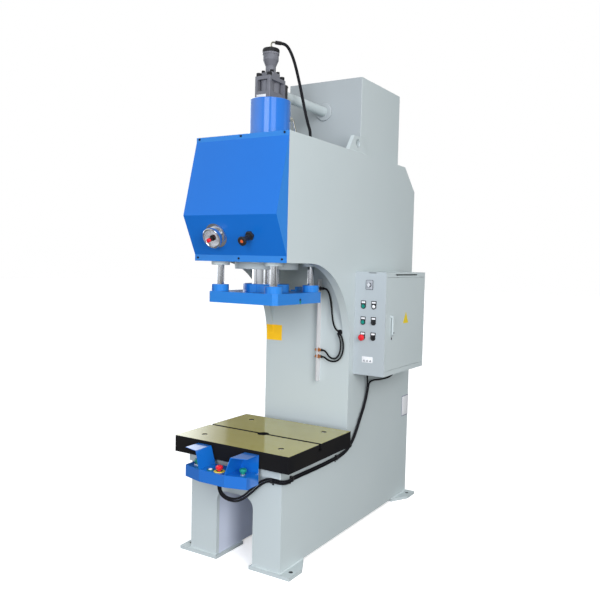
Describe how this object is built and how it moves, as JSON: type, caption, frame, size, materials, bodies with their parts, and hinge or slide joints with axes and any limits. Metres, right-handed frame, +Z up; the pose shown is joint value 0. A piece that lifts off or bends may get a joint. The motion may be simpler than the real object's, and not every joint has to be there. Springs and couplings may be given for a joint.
{
  "type": "hydraulic press",
  "caption": "Single-column hydraulic press with a guided ram over a slotted table, an oil tank on top, a side enclosure and a two-hand console.",
  "frame": {"origin": "on the floor at the middle of the four foundation bolt holes", "axes": "+Z up, +Y from the press's front to its back, +X to the right of someone facing the press"},
  "size_m": [0.942, 1.904, 2.981],
  "materials": {
    "grey_paint": "satin light grey enamel",
    "blue_paint": "satin blue enamel",
    "table_steel": "oiled ground steel",
    "black_steel": "black oxide",
    "bright_steel": "bright",
    "chrome_rod": "hard chrome",
    "dark_paint": "dark grey painted casting",
    "clear_glass": "clear",
    "black_rubber": "matt",
    "black_plastic": "matt",
    "red_plastic": "gloss",
    "green_plastic": "gloss",
    "white_plastic": "gloss",
    "orange_plastic": "matt"
  },
  "bodies": {
    "frame": {"side_plate_left": "grey_paint", "side_plate_right": "grey_paint", "leg_front_plate": "grey_paint", "tunnel_liner": "grey_paint", "head_base": "grey_paint", "column_web": "grey_paint", "rear_plate": "grey_paint", "top_deck": "grey_paint", "seat_plate": "grey_paint", "foot_plates": "grey_paint", "work_table": "table_steel", "socket_bolts": "black_steel", "head_cover": "blue_paint", "gauge_case": "bright_steel", "gauge_lens": "clear_glass", "throttle_valve": "black_steel", "main_cylinder": "blue_paint", "cylinder_gland": "grey_paint", "guide_bushes": "grey_paint", "prefill_valve": "dark_paint", "valve_actuator": "dark_paint", "actuator_cap": "black_plastic", "pipe_fittings": "bright_steel", "pilot_hose": "black_rubber", "suction_pipe": "grey_paint", "oil_tank": "grey_paint", "lifting_lugs": "grey_paint", "sensor_rail": "bright_steel", "sensors": "orange_plastic", "sensor_cable_upper": "black_rubber", "sensor_cable_middle": "black_rubber", "sensor_cable_lower": "black_rubber", "enclosure": "grey_paint", "button_bezels": "black_plastic", "box_lamp": "white_plastic", "console": "blue_paint", "console_lead_front": "black_rubber", "console_lead_rear": "black_rubber", "cable_fixings": "black_plastic", "power_unit": "dark_paint"},
    "ram": {"piston_rod": "chrome_rod", "platen": "blue_paint", "ram_flange": "blue_paint", "guide_rods": "chrome_rod", "guide_collars": "blue_paint", "trip_bracket": "bright_steel"},
    "door": {"enclosure_door": "grey_paint"},
    "handle": {"door_handle": "bright_steel"},
    "start_button": {"start_button": "green_plastic"},
    "run_button": {"run_button": "green_plastic"},
    "box_stop_button": {"box_stop_button": "red_plastic"},
    "selector_upper": {"selector_upper": "black_plastic"},
    "selector_lower": {"selector_lower": "black_plastic"},
    "main_switch": {"main_switch": "black_plastic"},
    "palm_button_left": {"palm_button_left": "green_plastic"},
    "palm_button_right": {"palm_button_right": "green_plastic"},
    "console_stop": {"console_stop": "red_plastic"},
    "console_button": {"console_button": "white_plastic"},
    "gauge_knob": {"gauge_knob": "red_plastic"},
    "throttle_knob": {"throttle_knob": "black_plastic"}
  },
  "joints": [
    {"name": "ram_slide", "type": "slide", "parent": "frame", "child": "ram", "axis": [0, 0, 1], "range_m": [-0.45, 0.02]},
    {"name": "door_hinge", "type": "hinge", "parent": "frame", "child": "door", "pos_m": [0.521, 0.536, 1.337], "axis": [0, 0, 1], "range_deg": [0, 110]},
    {"name": "handle_hinge", "type": "hinge", "parent": "door", "child": "handle", "pos_m": [0.541, 0.04, 1.384], "axis": [0, -1, 0], "range_deg": [0, 45]},
    {"name": "start_press", "type": "slide", "parent": "frame", "child": "start_button", "axis": [0, 1, 0], "range_m": [0, 0.003], "stiffness_N_per_m": 500, "springref_m": -0.004},
    {"name": "run_press", "type": "slide", "parent": "frame", "child": "run_button", "axis": [0, 1, 0], "range_m": [0, 0.003], "stiffness_N_per_m": 500, "springref_m": -0.004},
    {"name": "box_stop_press", "type": "slide", "parent": "frame", "child": "box_stop_button", "axis": [0, 1, 0], "range_m": [0, 0.006]},
    {"name": "selector_upper_turn", "type": "hinge", "parent": "frame", "child": "selector_upper", "pos_m": [0.448, -0.052, 1.346], "axis": [0, -1, 0], "range_deg": [-45, 45]},
    {"name": "selector_lower_turn", "type": "hinge", "parent": "frame", "child": "selector_lower", "pos_m": [0.448, -0.052, 1.25], "axis": [0, -1, 0], "range_deg": [-45, 45]},
    {"name": "main_switch_turn", "type": "hinge", "parent": "frame", "child": "main_switch", "pos_m": [0.415, -0.052, 1.58], "axis": [0, -1, 0], "range_deg": [0, 90]},
    {"name": "palm_left_press", "type": "slide", "parent": "frame", "child": "palm_button_left", "axis": [0, 0, -1], "range_m": [0, 0.008], "stiffness_N_per_m": 500, "springref_m": -0.004},
    {"name": "palm_right_press", "type": "slide", "parent": "frame", "child": "palm_button_right", "axis": [0, 0, -1], "range_m": [0, 0.008], "stiffness_N_per_m": 500, "springref_m": -0.004},
    {"name": "console_stop_press", "type": "slide", "parent": "frame", "child": "console_stop", "axis": [0, 0, -1], "range_m": [0, 0.006]},
    {"name": "console_button_press", "type": "slide", "parent": "frame", "child": "console_button", "axis": [0, 0, -1], "range_m": [0, 0.003], "stiffness_N_per_m": 500, "springref_m": -0.004},
    {"name": "gauge_knob_turn", "type": "hinge", "parent": "frame", "child": "gauge_knob", "pos_m": [-0.118, -0.895, 1.8475], "axis": [0, -0.9002, -0.4354], "range_deg": [-135, 135]},
    {"name": "throttle_turn", "type": "hinge", "parent": "frame", "child": "throttle_knob", "pos_m": [0.113, -0.895, 1.8475], "axis": [0, -0.9002, -0.4354], "range_deg": [0, 720]}
  ]
}
